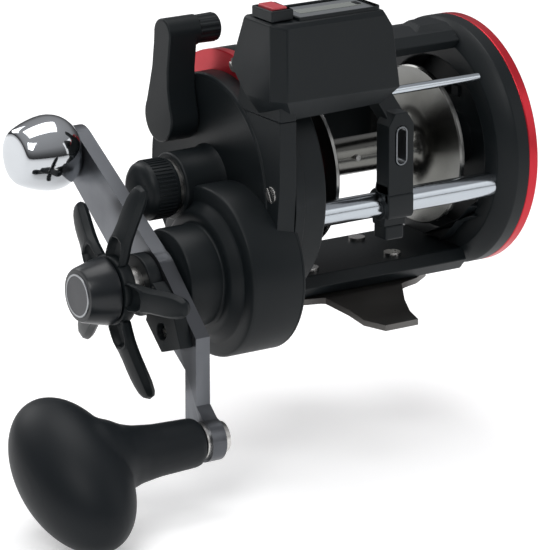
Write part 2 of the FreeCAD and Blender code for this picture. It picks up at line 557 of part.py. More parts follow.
def make_knobs():
    """Spool tension knob, power knob and click button."""
    tension = Piece("tension_knob")
    tension.turn([("tension_in", 0), ("tension_in", "tension_radius"), ("tension_out + 2", "tension_radius"),
                  ("tension_out", "tension_radius - 2.4"), ("tension_out", 0)])
    tension.pad([ring_of(0, 0, 3.9)], "tension_in", 2.8)
    knob_x, long, wide = value("knob_x"), value("knob_half_long"), value("knob_half_wide")
    bands = 16
    turns = [math.pi * i / bands for i in range(1, bands)]
    outline = [FreeCAD.Vector(-long, 0, 0)]
    outline += [FreeCAD.Vector(-long * math.cos(t), wide * math.sin(t), 0) for t in turns]
    outline += [FreeCAD.Vector(long, 0, 0), FreeCAD.Vector(-long, 0, 0)]
    egg = Part.Face(Part.makePolygon(outline)).revolve(FreeCAD.Vector(), FreeCAD.Vector(1, 0, 0), 360)
    egg.rotate(FreeCAD.Vector(), FreeCAD.Vector(0, 0, 1), 90)
    egg.rotate(FreeCAD.Vector(), FreeCAD.Vector(1, 0, 0), value("knob_lean"))
    egg.translate(FreeCAD.Vector(knob_x, 0, -value("knob_drop")))
    along = FreeCAD.Vector(1, 0, 0)
    stem_start = FreeCAD.Vector(knob_x + 5.9, 0, 0)
    stem_long = value("bar_out") - 1.3 - stem_start.x
    stem = Part.makeCone(value("stem_radius + stem_flare"), value("stem_radius"), stem_long, stem_start, along)
    hole = Part.makeCylinder(2.06, 45, FreeCAD.Vector(knob_x + 3.8, 0, 0), along)
    knob = egg.fuse(stem).cut(hole).Solids[0]
    feature("knob_grip", knob, value("main_y + eye_y"), value("main_z + eye_z"))
    click = Piece("click_button")
    click.pad([box_of(-4.4, 10.6, 4.4, 17.4)], 43.3, 2.2)
    click.pad([box_of(-1.6, 12.6, 1.6, 15.4)], 34.4, 9)


def main():
    """Makes every sub-part, writes its STEP file and reads it back."""
    make_frame()
    make_housing()
    make_counter()
    make_level_wind()
    make_spool()
    make_gears()
    make_clutch()
    make_crank()
    make_knobs()
    doc.recompute()
    faults = []
    for obj in doc.Objects:
        if "Invalid" in obj.State or "Error" in obj.State:
            faults.append(f"{obj.Label}: {obj.State}")
        if obj.TypeId in ("PartDesign::Pocket", "PartDesign::Groove") and obj.BaseFeature:
            if obj.Shape.Volume >= obj.BaseFeature.Shape.Volume - 1e-6:
                faults.append(f"{obj.Label}: cuts nothing")
    for node in nodes:
        if node.Shape.isNull() or not node.Shape.isValid() or node.Shape.Volume <= 0:
            faults.append(f"{node.Label}: no sound solid")
    if faults:
        raise SystemExit("\n".join(faults))
    os.makedirs("parts", exist_ok=True)
    for node in nodes:
        path = f"parts/{node.Label}.step"
        node.Shape.exportStep(path)
        copy = Part.Shape()
        copy.read(path)
        if abs(copy.Volume - node.Shape.Volume) > 0.01 * node.Shape.Volume:
            faults.append(f"{node.Label}: its file holds {copy.Volume:.0f}, not {node.Shape.Volume:.0f}")
    if faults:
        raise SystemExit("\n".join(faults))
    print(len(nodes), "sub-parts written")


main()
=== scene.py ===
"""Looks of a right-handed trolling reel with a level wind and a line counter.

Shapes are given in millimetres about the spool's axis: +X towards the palm plate, -Y where the
line leaves, +Z up. `Place` turns them into the row frame in metres.
"""

import enum
import json
import logging
import math
from dataclasses import dataclass, field
from typing import Callable, Iterable, Sequence

import bmesh
import bpy
from mathutils import Matrix, Vector

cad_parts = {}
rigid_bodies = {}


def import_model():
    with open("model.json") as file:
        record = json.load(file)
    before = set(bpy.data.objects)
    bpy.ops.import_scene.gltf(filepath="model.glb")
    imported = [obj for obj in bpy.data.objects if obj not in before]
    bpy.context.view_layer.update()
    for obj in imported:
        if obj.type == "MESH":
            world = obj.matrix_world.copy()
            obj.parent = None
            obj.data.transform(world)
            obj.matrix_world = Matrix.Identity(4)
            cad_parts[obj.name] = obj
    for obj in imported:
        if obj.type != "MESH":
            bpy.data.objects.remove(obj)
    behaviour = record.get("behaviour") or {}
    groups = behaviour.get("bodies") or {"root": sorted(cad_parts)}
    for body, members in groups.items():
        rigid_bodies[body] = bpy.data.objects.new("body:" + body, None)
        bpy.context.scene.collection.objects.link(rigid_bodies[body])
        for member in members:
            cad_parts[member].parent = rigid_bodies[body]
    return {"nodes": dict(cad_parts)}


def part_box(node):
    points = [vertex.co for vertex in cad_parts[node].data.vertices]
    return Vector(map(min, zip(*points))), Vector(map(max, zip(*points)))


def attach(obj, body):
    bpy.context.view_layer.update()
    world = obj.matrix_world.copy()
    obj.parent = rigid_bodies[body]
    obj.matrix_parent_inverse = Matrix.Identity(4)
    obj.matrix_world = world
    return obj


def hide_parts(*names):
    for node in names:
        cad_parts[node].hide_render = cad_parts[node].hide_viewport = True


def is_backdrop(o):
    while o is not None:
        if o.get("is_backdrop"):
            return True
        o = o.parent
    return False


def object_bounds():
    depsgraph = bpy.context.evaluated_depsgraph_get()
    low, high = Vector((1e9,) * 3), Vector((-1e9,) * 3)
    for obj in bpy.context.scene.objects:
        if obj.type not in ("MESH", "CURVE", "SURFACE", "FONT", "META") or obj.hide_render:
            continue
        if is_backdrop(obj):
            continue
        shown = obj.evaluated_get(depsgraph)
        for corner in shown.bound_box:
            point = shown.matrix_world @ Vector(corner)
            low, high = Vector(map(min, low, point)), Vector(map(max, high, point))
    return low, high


LOG = logging.getLogger("trolling_reel")
MM = 0.001
Point = tuple[float, float, float]
Profile = Sequence[tuple[float, float]]


class Pattern(enum.Enum):
    """How a surface was made, which decides the grain that it shows."""

    MOULDED = "moulded"
    BRUSHED = "brushed"
    TURNED = "turned"


@dataclass(frozen=True)
class Finish:
    """One finish of the reel.

    Colours are linear RGB. `scale` is the grain's fineness per metre and `depth` its height in
    metres.
    """

    name: str
    slot: str
    colour: tuple[float, float, float]
    roughness: float
    metallic: float = 0.0
    pattern: Pattern = Pattern.MOULDED
    scale: float = 2600.0
    depth: float = 0.00001
    spread: float = 0.08
    wear: float = 0.25
    wear_colour: tuple[float, float, float] = (0.2, 0.21, 0.22)
    specular: float = 0.5
    glass: bool = False


BLACK = Finish("satin_black_moulding", "black_moulding", (0.0062, 0.0085, 0.0098), 0.44, wear=0.18,
               wear_colour=(0.04, 0.045, 0.05), specular=0.19)
BLACK_GLOSS = Finish("knob_cap_black", "black_moulding", (0.009, 0.011, 0.013), 0.3, wear=0.15,
                     wear_colour=(0.05, 0.055, 0.06), specular=0.32)
RED = Finish("red_anodising", "red_anodised", (0.50, 0.012, 0.025), 0.30, metallic=0.65,
             pattern=Pattern.TURNED, scale=1800, depth=0.000004, wear=0.25, wear_colour=(0.8, 0.2, 0.2))
RED_BUTTON = Finish("red_button_plastic", "red_button", (0.42, 0.035, 0.045), 0.5, wear=0.15,
                    wear_colour=(0.6, 0.15, 0.15))
INSERT = Finish("guide_insert_steel", "polished_steel", (0.16, 0.17, 0.18), 0.3, metallic=1.0,
                pattern=Pattern.TURNED, scale=900, depth=0.000002, spread=0.07)
STEEL = Finish("polished_steel", "polished_steel", (0.50, 0.54, 0.58), 0.18, metallic=1.0,
               pattern=Pattern.BRUSHED, scale=900, depth=0.000002, spread=0.07)
SCREW = Finish("screw_steel", "screw_steel", (0.60, 0.59, 0.57), 0.28, metallic=1.0,
               pattern=Pattern.TURNED, scale=1500, depth=0.000003)
FOOT = Finish("dark_satin_foot", "foot_metal", (0.050, 0.047, 0.045), 0.36, metallic=0.8,
              scale=1500, wear=0.9, wear_colour=(0.45, 0.44, 0.42))
SPOOL = Finish("dark_nickel_spool", "spool_metal", (0.145, 0.145, 0.135), 0.24, metallic=1.0,
               pattern=Pattern.TURNED, scale=1300, depth=0.000003, spread=0.1, wear=0.6,
               wear_colour=(0.75, 0.76, 0.78))
BEARING = Finish("bearing_steel", "bearing_steel", (0.5, 0.51, 0.53), 0.25, metallic=1.0,
                 pattern=Pattern.TURNED)
BRASS = Finish("gear_brass", "gear_brass", (0.62, 0.42, 0.16), 0.3, metallic=1.0,
               pattern=Pattern.TURNED)
FABRIC = Finish("drag_fibre", "drag_fabric", (0.05, 0.05, 0.05), 0.9, scale=1500, depth=0.00004)
HANDLE = Finish("handle_anodising", "handle_metal", (0.085, 0.089, 0.098), 0.34, metallic=0.9,
                pattern=Pattern.BRUSHED, scale=700, depth=0.000003, spread=0.1, wear=0.35,
                wear_colour=(0.4, 0.42, 0.45))
CHROME = Finish("mirror_chrome", "chrome_weight", (0.50, 0.52, 0.54), 0.06, metallic=1.0,
                pattern=Pattern.TURNED, scale=300, depth=0.000001, spread=0.02)
GRIP = Finish("soft_grip", "soft_grip", (0.0052, 0.0074, 0.0094), 0.5, scale=3200, depth=0.000012,
              wear=0.1, wear_colour=(0.03, 0.035, 0.04), specular=0.2)
GRIP_BADGE = Finish("grip_end_badge", "soft_grip", (0.016, 0.018, 0.020), 0.26, scale=1200,
                    depth=0.000004, wear=0.2)
BADGE = Finish("badge_metal", "badge_metal", (0.035, 0.036, 0.040), 0.35, metallic=0.5,
               pattern=Pattern.TURNED)
BADGE_RING = Finish("badge_ring", "badge_metal", (0.30, 0.31, 0.32), 0.3, metallic=1.0,
                    pattern=Pattern.TURNED)
BEZEL = Finish("bezel_grey", "bezel_grey", (0.11, 0.118, 0.125), 0.42, wear=0.3)
WINDOW = Finish("clear_window", "clear_window", (0.85, 0.88, 0.86), 0.05, glass=True)
DISPLAY = Finish("display_glass", "display_glass", (0.22, 0.235, 0.22), 0.2, spread=0.03)
BOARD = Finish("circuit_board", "circuit_board", (0.03, 0.1, 0.05), 0.4)

CAD_FINISHES: dict[Finish, tuple[str, ...]] = {
    BLACK: ("main_frame", "gear_housing", "counter_case", "palm_side_plate", "line_guide", "pawl_cap",
            "clutch_lever", "tension_knob", "nut_cap", "star_wheel", "click_button", "lock_block",
            "handle_collar"),
    RED: ("palm_rim", "gear_side_plate"),
    RED_BUTTON: ("reset_button",),
    STEEL: ("level_wind_tube", "guide_rod"),
    INSERT: ("guide_ring",),
    SCREW: ("foot_rivets", "plate_screws", "cover_screws", "lock_screw", "tension_washers",
            "knob_washers", "dog_pin", "spool_shaft", "main_shaft", "knob_spindle", "worm_shaft",
            "line_tie_pin", "handle_nut", "star_nut"),
    FOOT: ("reel_foot",),
    SPOOL: ("spool",),
    BEARING: ("spool_bearings", "main_bearing", "ratchet_wheel", "anti_reverse_dog", "drag_plates",
              "click_gear"),
    BRASS: ("drive_gear", "wind_gear", "worm_gear", "pinion_gear", "clutch_yoke", "clutch_cam",
            "pawl", "worm_bushes"),
    FABRIC: ("drag_washers",),
    HANDLE: ("handle_bar",),
    CHROME: ("counterweight",),
    GRIP: ("knob_grip",),
    BADGE: ("cap_badge",),
    BEZEL: ("counter_bezel",),
    WINDOW: ("counter_window",),
    DISPLAY: ("counter_display",),
    BOARD: ("counter_board", "counter_battery"),
}


# ------------------------------------------------------------------------------- materials


class Groups:
    """Shader node groups that the finishes share."""

    def __init__(self) -> None:
        """Makes the groups once."""
        self.grain = {kind: self._surface(kind) for kind in Pattern}

    def _surface(self, kind: Pattern) -> bpy.types.NodeTree:
        """Builds one surface group.

        Args:
            kind: Moulded, brushed along X, or turned about the spool's direction.

        Returns:
            A group that puts out Color, Roughness and Normal.
        """
        tree = bpy.data.node_groups.new(f"{kind.value}_surface", "ShaderNodeTree")
        sockets = (("Base", "NodeSocketColor"), ("Wear Color", "NodeSocketColor"),
                   ("Scale", "NodeSocketFloat"), ("Depth", "NodeSocketFloat"),
                   ("Roughness", "NodeSocketFloat"), ("Spread", "NodeSocketFloat"),
                   ("Wear", "NodeSocketFloat"))
        for name, kind_of in sockets:
            tree.interface.new_socket(name, in_out="INPUT", socket_type=kind_of)
        for name, kind_of in (("Color", "NodeSocketColor"), ("Roughness", "NodeSocketFloat"),
                              ("Normal", "NodeSocketVector")):
            tree.interface.new_socket(name, in_out="OUTPUT", socket_type=kind_of)
        add, link = tree.nodes.new, tree.links.new
        given, out = add("NodeGroupInput"), add("NodeGroupOutput")
        where = add("ShaderNodeTexCoord")
        place = add("ShaderNodeMapping")
        link(where.outputs["Object"], place.inputs["Vector"])
        stretch = {Pattern.MOULDED: (1, 1, 1), Pattern.BRUSHED: (1, 1, 0.04), Pattern.TURNED: (1, 0.2, 0.2)}
        place.inputs["Scale"].default_value = stretch[kind]
        grain = add("ShaderNodeTexNoise")
        grain.inputs["Detail"].default_value = 3
        link(place.outputs["Vector"], grain.inputs["Vector"])
        link(given.outputs["Scale"], grain.inputs["Scale"])
        cloud = add("ShaderNodeTexNoise")
        cloud.inputs["Scale"].default_value = 45
        cloud.inputs["Detail"].default_value = 4
        link(where.outputs["Object"], cloud.inputs["Vector"])
        edge = add("ShaderNodeNewGeometry")
        mask = add("ShaderNodeMapRange")
        mask.inputs["From Min"].default_value = 0.52
        mask.inputs["From Max"].default_value = 0.62
        link(edge.outputs["Pointiness"], mask.inputs["Value"])
        worn = add("ShaderNodeMath")
        worn.operation = "MULTIPLY"
        link(mask.outputs["Result"], worn.inputs[0])
        link(given.outputs["Wear"], worn.inputs[1])
        patchy = add("ShaderNodeMath")
        patchy.operation = "MULTIPLY"
        link(worn.outputs[0], patchy.inputs[0])
        link(cloud.outputs["Fac"], patchy.inputs[1])
        shade = add("ShaderNodeHueSaturation")
        tone = add("ShaderNodeMapRange")
        tone.inputs["To Min"].default_value = 0.86
        tone.inputs["To Max"].default_value = 1.14
        link(cloud.outputs["Fac"], tone.inputs["Value"])
        link(tone.outputs["Result"], shade.inputs["Value"])
        link(given.outputs["Base"], shade.inputs["Color"])
        mix = add("ShaderNodeMix")
        mix.data_type = "RGBA"
        link(patchy.outputs[0], mix.inputs[0])
        link(shade.outputs["Color"], mix.inputs[6])
        link(given.outputs["Wear Color"], mix.inputs[7])
        link(mix.outputs[2], out.inputs["Color"])
        centred = add("ShaderNodeMath")
        centred.operation = "SUBTRACT"
        centred.inputs[1].default_value = 0.5
        link(grain.outputs["Fac"], centred.inputs[0])
        rough = add("ShaderNodeMath")
        rough.operation = "MULTIPLY_ADD"
        link(centred.outputs[0], rough.inputs[0])
        link(given.outputs["Spread"], rough.inputs[1])
        link(given.outputs["Roughness"], rough.inputs[2])
        link(rough.outputs[0], out.inputs["Roughness"])
        bump = add("ShaderNodeBump")
        bump.inputs["Strength"].default_value = 1.0
        link(given.outputs["Depth"], bump.inputs["Distance"])
        link(grain.outputs["Fac"], bump.inputs["Height"])
        link(bump.outputs["Normal"], out.inputs["Normal"])
        return tree


class Materials:
    """Makes each finish's material once."""

    def __init__(self) -> None:
        """Starts with the shared groups and no materials."""
        self.groups = Groups()
        self.made: dict[str, bpy.types.Material] = {}

    def of(self, finish: Finish) -> bpy.types.Material:
        """Material of a finish.

        Args:
            finish: The finish.

        Returns:
            Its material, made at the first call.
        """
        if finish.name in self.made:
            return self.made[finish.name]
        material = bpy.data.materials.new(finish.name)
        material.use_nodes = True
        tree = material.node_tree
        shader = tree.nodes["Principled BSDF"]
        surface = tree.nodes.new("ShaderNodeGroup")
        surface.node_tree = self.groups.grain[finish.pattern]
        for name, value in (("Base", (*finish.colour, 1)), ("Wear Color", (*finish.wear_colour, 1)),
                            ("Scale", finish.scale), ("Depth", finish.depth),
                            ("Roughness", finish.roughness), ("Spread", finish.spread),
                            ("Wear", finish.wear)):
            surface.inputs[name].default_value = value
        for made, wanted in (("Color", "Base Color"), ("Roughness", "Roughness"), ("Normal", "Normal")):
            tree.links.new(surface.outputs[made], shader.inputs[wanted])
        shader.inputs["Metallic"].default_value = finish.metallic
        shader.inputs["Specular IOR Level"].default_value = finish.specular
        if finish.glass:
            shader.inputs["Transmission Weight"].default_value = 1.0
            shader.inputs["IOR"].default_value = 1.45
        self.made[finish.name] = material
        return material


# ------------------------------------------------------------------------------- modelling


@dataclass
class Place:
    """Turns millimetres about the spool's axis into the row frame."""

    x: float
    z: float

    @classmethod
    def from_frame(cls) -> "Place":
        """Reads the spool's centre from the frame."""
        low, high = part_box("spool")
        return cls((low.x + high.x) / 2, (low.z + high.z) / 2)

    @property
    def matrix(self) -> Matrix:
        """Matrix from millimetres about the spool's axis to metres in the row frame."""
        return Matrix.Translation((self.x, 0, self.z)) @ Matrix.Scale(MM, 4)


@dataclass
class Shop:
    """What every sub-assembly needs to make its pieces."""

    place: Place
    materials: Materials
    made: list[bpy.types.Object] = field(default_factory=list)

    def finish(self, name: str, mesh: bmesh.types.BMesh, look: Finish, body: str,
               replaces: Iterable[str] = (), bevel: float = 0.0, segments: int = 3,
               subdivide: int = 0, smooth: float = 32.0) -> bpy.types.Object:
        """Turns a bmesh in millimetres into a dressed piece that rides on a body.

        Args:
            name: The piece's name.
            mesh: The shape, freed afterwards.
            look: Its finish.
            body: The body it rides on.
            replaces: Nodes it stands for.
            bevel: Width of a rounded edge, in millimetres, or 0 for none.
            segments: Steps in that rounding.
            subdivide: Levels of subdivision.
            smooth: Angle in degrees under which faces shade as one.

        Returns:
            The object.
        """
        bmesh.ops.remove_doubles(mesh, verts=mesh.verts, dist=0.0005)
        bmesh.ops.recalc_face_normals(mesh, faces=mesh.faces)
        bmesh.ops.transform(mesh, matrix=self.place.matrix, verts=mesh.verts)
        data = bpy.data.meshes.new(name)
        mesh.to_mesh(data)
        mesh.free()
        piece = bpy.data.objects.new(name, data)
        bpy.context.scene.collection.objects.link(piece)
        data.materials.append(self.materials.of(look))
        if subdivide:
            rounder = piece.modifiers.new("rounder", "SUBSURF")
            rounder.levels = rounder.render_levels = subdivide
        if bevel:
            self._soften(piece, bevel, segments)
        data.shade_smooth()
        self._shade(piece, smooth)
        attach(piece, body)
        if replaces:
            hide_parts(*replaces)
        self.made.append(piece)
        LOG.info("made %s on %s", name, body)
        return piece

    @staticmethod
    def _soften(piece: bpy.types.Object, width: float, segments: int) -> None:
        """Rounds a piece's sharp edges.

        Args:
            piece: The piece.
            width: Width of the rounding in millimetres.
            segments: Steps in it.
        """
        edges = piece.modifiers.new("edges", "BEVEL")
        edges.width = width * MM
        edges.segments = segments
        edges.limit_method = "ANGLE"
        edges.angle_limit = math.radians(34)
        edges.harden_normals = True

    @staticmethod
    def _shade(piece: bpy.types.Object, degrees: float) -> None:
        """Keeps edges over an angle crisp.

        Args:
            piece: The piece.
            degrees: Angle between two faces from which their edge stays crisp.
        """
        mesh = piece.data
        limit = math.radians(degrees)
        probe = bmesh.new()
        probe.from_mesh(mesh)
        for edge in probe.edges:
            edge.smooth = len(edge.link_faces) == 2 and edge.calc_face_angle(0.0) < limit
        probe.to_mesh(mesh)
        probe.free()

    def softened(self, node: str, look: Finish, body: str, bevel: float) -> bpy.types.Object:
        """A copy of a node with its faces joined and its edges rounded.

        Args:
            node: The node to copy and replace.
            look: Its finish.
            body: The body it rides on.
            bevel: Width of the rounded edges in millimetres.

        Returns:
            The object.
        """
        source = bpy.data.objects[node]
        mesh = bmesh.new()
        mesh.from_mesh(source.data)
        bmesh.ops.remove_doubles(mesh, verts=mesh.verts, dist=0.000004)
        bmesh.ops.dissolve_limit(mesh, angle_limit=math.radians(0.6), verts=mesh.verts,
                                 edges=mesh.edges, use_dissolve_boundaries=False, delimit=set())
        bmesh.ops.transform(mesh, matrix=self.place.matrix.inverted(), verts=mesh.verts)
        return self.finish(node + "_soft", mesh, look, body, (node,), bevel=bevel, segments=2)


def turned(profile: Profile, centre: tuple[float, float] = (0, 0), steps: int = 96) -> bmesh.types.BMesh:
    """Turns an open profile about a line along X.

    Args:
        profile: (x, radius) corners in millimetres.
        centre: (y, z) of the line.
        steps: Faces round the turn.

    Returns:
        The shape.
    """
    mesh = bmesh.new()
    chain = [mesh.verts.new((x, centre[0] + radius, centre[1])) for x, radius in profile]
    edges = [mesh.edges.new(pair) for pair in zip(chain, chain[1:])]
    bmesh.ops.spin(mesh, geom=chain + edges, cent=(0, *centre), axis=(1, 0, 0),
                   angle=2 * math.pi, steps=steps, use_merge=True, use_duplicate=False)
    bmesh.ops.remove_doubles(mesh, verts=mesh.verts, dist=0.0005)
    return mesh


def slab(outline: Profile, start: float, depth: float, axis: str = "X",
         hole: Profile | None = None) -> bmesh.types.BMesh:
    """Extrudes a flat outline.

    Args:
        outline: Corners in the plane across the axis: (y, z) for X, (x, z) for Y, (x, y) for Z.
        start: Where the plate begins on the axis.
        depth: Its thickness along the axis.
        axis: X, Y or Z.
        hole: Corners of an opening, or None.

    Returns:
        The shape.
    """
    order: dict[str, Callable[[float, float], Point]] = {
        "X": lambda a, b: (start, a, b), "Y": lambda a, b: (a, start, b), "Z": lambda a, b: (a, b, start)}
    along = {"X": Vector((depth, 0, 0)), "Y": Vector((0, depth, 0)), "Z": Vector((0, 0, depth))}[axis]
    mesh = bmesh.new()
    edges = []
    for loop in (outline, hole):
        if loop:
            ring = [mesh.verts.new(order[axis](a, b)) for a, b in loop]
            edges += [mesh.edges.new((ring[i - 1], ring[i])) for i in range(len(ring))]
    if hole:
        bmesh.ops.triangle_fill(mesh, edges=edges, use_beauty=True, use_dissolve=False)
        bmesh.ops.dissolve_limit(mesh, angle_limit=0.01, verts=mesh.verts, edges=mesh.edges,
                                 use_dissolve_boundaries=False, delimit=set())
    else:
        mesh.faces.new(list(mesh.verts))
    grown = bmesh.ops.extrude_face_region(mesh, geom=list(mesh.faces), use_keep_orig=True)
    moved = [part for part in grown["geom"] if isinstance(part, bmesh.types.BMVert)]
    bmesh.ops.translate(mesh, vec=along, verts=moved)
    return mesh


def hull(points: Iterable[Point]) -> bmesh.types.BMesh:
    """Faceted solid round some corners.

    Args:
        points: Corners in millimetres.

    Returns:
        The shape, its flat faces whole.
    """
    mesh = bmesh.new()
    for point in points:
        mesh.verts.new(point)
    found = bmesh.ops.convex_hull(mesh, input=mesh.verts, use_existing_faces=False)
    spare = [part for part in found["geom_interior"] if isinstance(part, bmesh.types.BMVert)]
    bmesh.ops.delete(mesh, geom=spare, context="VERTS")
    bmesh.ops.dissolve_limit(mesh, angle_limit=0.02, verts=mesh.verts, edges=mesh.edges,
                             use_dissolve_boundaries=False, delimit=set())
    return mesh


def joined(*shapes: bmesh.types.BMesh) -> bmesh.types.BMesh:
    """Puts several shapes in one mesh.

    Args:
        shapes: The shapes, freed afterwards.

    Returns:
        The mesh that holds them all.
    """
    whole = bmesh.new()
    for shape in shapes:
        spare = bpy.data.meshes.new("spare")
        shape.to_mesh(spare)
        shape.free()
        whole.from_mesh(spare)
        bpy.data.meshes.remove(spare)
    return whole


def arc(centre: tuple[float, float], radius: float, first: float, last: float,
        steps: int) -> list[tuple[float, float]]:
    """Points on an arc, from one angle to another in degrees."""
    angles = [math.radians(first + (last - first) * i / steps) for i in range(steps + 1)]
    return [(centre[0] + radius * math.cos(a), centre[1] + radius * math.sin(a)) for a in angles]


def stadium(centre: tuple[float, float], half_wide: float, half_high: float,
            steps: int = 12) -> list[tuple[float, float]]:
    """An upright slot's outline with round ends.

    Args:
        centre: Its middle.
        half_wide: Half its width, and the radius of its ends.
        half_high: Half its height.
        steps: Steps in each round end.

    Returns:
        Its corners.
    """
    reach = half_high - half_wide
    top = arc((centre[0], centre[1] + reach), half_wide, 0, 180, steps)
    return top + arc((centre[0], centre[1] - reach), half_wide, 180, 360, steps)


# ---------------------------------------------------------------------------- sub-assemblies


@dataclass
class Housing:
    """Gear housing, counter tower and everything that rides with the frame."""

    shop: Shop
    main: tuple[float, float] = (-16.0, -21.0)
    left: float = -52.6
    right: float = -12.4
    top: float = 53.0
    front: float = -40.0

    def build(self) -> None:
        """Makes the tower, the gear cover and their trim."""
        self.tower()
        self.cover()
        self.button()
        self.bezel()

    def tower(self) -> None:
        """Counter tower: a faceted block with a cut corner and a slanted back."""
        left, right, top, front = self.left, self.right, self.top, self.front
        block = hull([
            (left, front + 3.4, 30.4), (left, front + 3.4, top - 1.6), (left + 0.8, front + 4, top - 0.9),
            (left + 3.4, front, 30.4), (left + 3.4, front, top - 2.4), (left + 4, front + 1, top - 0.9),
            (left, -23.5, top - 1.6), (left + 0.8, -23.5, top - 0.9), (left, -17, 37), (left, -24, 30.4),
            (-17.2, front, top - 2.4), (-17.6, front + 1, top - 0.9), (-17.6, -23, top - 0.9),
            (right - 2.4, front, 47.1), (right - 1.6, -22, 47.4),
            (right, front, 30), (right, -16, 32), (right, -15.5, 36),
            (-44, front + 5.4, 23.8), (right - 2, front + 6.2, 24.4),
            (-49.2, -26, 24.6), (right - 1, -24, 25),
        ])
        pillar = hull([
            (-49.2, front + 3.4, 30), (-49.2, -36.3, 24), (-49.2, -14.8, 24), (-49.2, -17, 36),
            (-44, front + 3, 30), (-44, -36.6, 24), (-40, -15, 24), (-40, -17, 36),
        ])
        rim = slab([(-44.4, -38.6), (-18.8, -38.6), (-17.4, -37), (-17.4, -23.4), (-44.4, -23.4)],
                   top - 1.6, 1.7, "Z",
                   [(-43.6, -37.8), (-19.2, -37.8), (-18.2, -36.6), (-18.2, -24.4), (-43.6, -24.4)])
        self.shop.finish("counter_tower", joined(block, pillar, rim), BLACK, "reel_frame",
                         ("counter_case",), bevel=0.8, segments=4)

    def cover(self) -> None:
        """Gear housing: deck, panel, drum, tension boss and the lower step."""
        drum = turned([(-44, 24), (-58.6, 24), (-59.6, 23.6), (-60, 22.8), (-60, 19.6), (-60.6, 18.8),
                       (-62.6, 17.4), (-63, 16.6), (-63, 14.6), (-63.4, 14.1), (-72.4, 14.1),
                       (-73.3, 13.7), (-73.6, 12.8), (-73.6, 3.4)], self.main)
        deck = turned([(-44, 30.2), (-48.9, 30.2), (-49.5, 29.8), (-49.7, 29.2), (-49.4, 28.4), (-49.4, 0)])
        boss = turned([(-49, 10.5), (-51, 9.6), (-61.6, 9.5), (-62, 9.1), (-62, 0)])
        outline = ([(-35.5, 24), (-15, 24), (-10.5, 14)] + arc((0, 0), 12, 130, -55, 12)
                   + [(0, -20), (-30, -20)])
        panel = slab(outline, -49.0, 5.0)
        step = hull([(-49.2, -36.3, 24), (-49.2, -36.3, 6), (-49.2, -33.6, -6.7), (-49.2, -33.6, -17.5),
                     (-44, -36.6, 24), (-44, -36.6, 4), (-44, -35.8, -6.7), (-44, -33.4, -17.5),
                     (-49.2, -20, 24), (-49.2, -20, -17.5), (-44, -20, 24), (-44, -20, -17.5)])
        wrap = slab(arc((0, 0), 36.6, 122, 238, 40) + arc((0, 0), 36.05, 238, 122, 40), -44, 3)
        back = turned([(-43.9, 24), (-43.1, 24), (-43.1, 17), (-43.9, 17), (-43.9, 24)], self.main)
        whole = joined(drum, deck, boss, panel, step, wrap, back)
        self.shop.finish("gear_cover", whole, BLACK, "reel_frame", ("gear_housing",), bevel=0.45)

    def button(self) -> None:
        """Reset button on its raised block."""
        block = slab([(-52.2, -37), (-45.2, -37), (-44.4, -26.8), (-52.2, -26.8)], 52.3, 3.1, "Z",
                     [(-51.2, -36), (-46.2, -36), (-46.2, -27.8), (-51.2, -27.8)])
        self.shop.finish("button_block", block, BLACK, "reel_frame", bevel=0.7)
        cap = slab([(-51, -35.8), (-46.4, -35.8), (-46.4, -28), (-51, -28)], 53.4, 2.6, "Z")
        self.shop.finish("button_cap", cap, RED_BUTTON, "reset", ("reset_button",), bevel=0.5)

    def bezel(self) -> None:
        """Grey bezel round the counter's window."""
        plate = slab([(-43.5, -37.7), (-19.3, -37.7), (-18.3, -36.5), (-18.3, -24.5), (-43.5, -24.5)],
                     self.top - 1.2, 0.7, "Z")
        self.shop.finish("window_bezel", plate, BEZEL, "reel_frame", ("counter_bezel",), bevel=0.2)
        level = self.top - 0.55
        strip = slab([(-40, -32.6), (-19.8, -32.6), (-19.8, -28.2), (-40, -28.2)], level, 0.2, "Z")
        self.shop.finish("window_strip", strip, DISPLAY, "reel_frame",
                         ("counter_window", "counter_display"), bevel=0.05)
        notch = slab([(-21.4, -32), (-20, -32), (-20, -29), (-21.4, -29)], level + 0.1, 0.3, "Z")
        self.shop.finish("window_notch", notch, BLACK, "reel_frame", bevel=0.05)


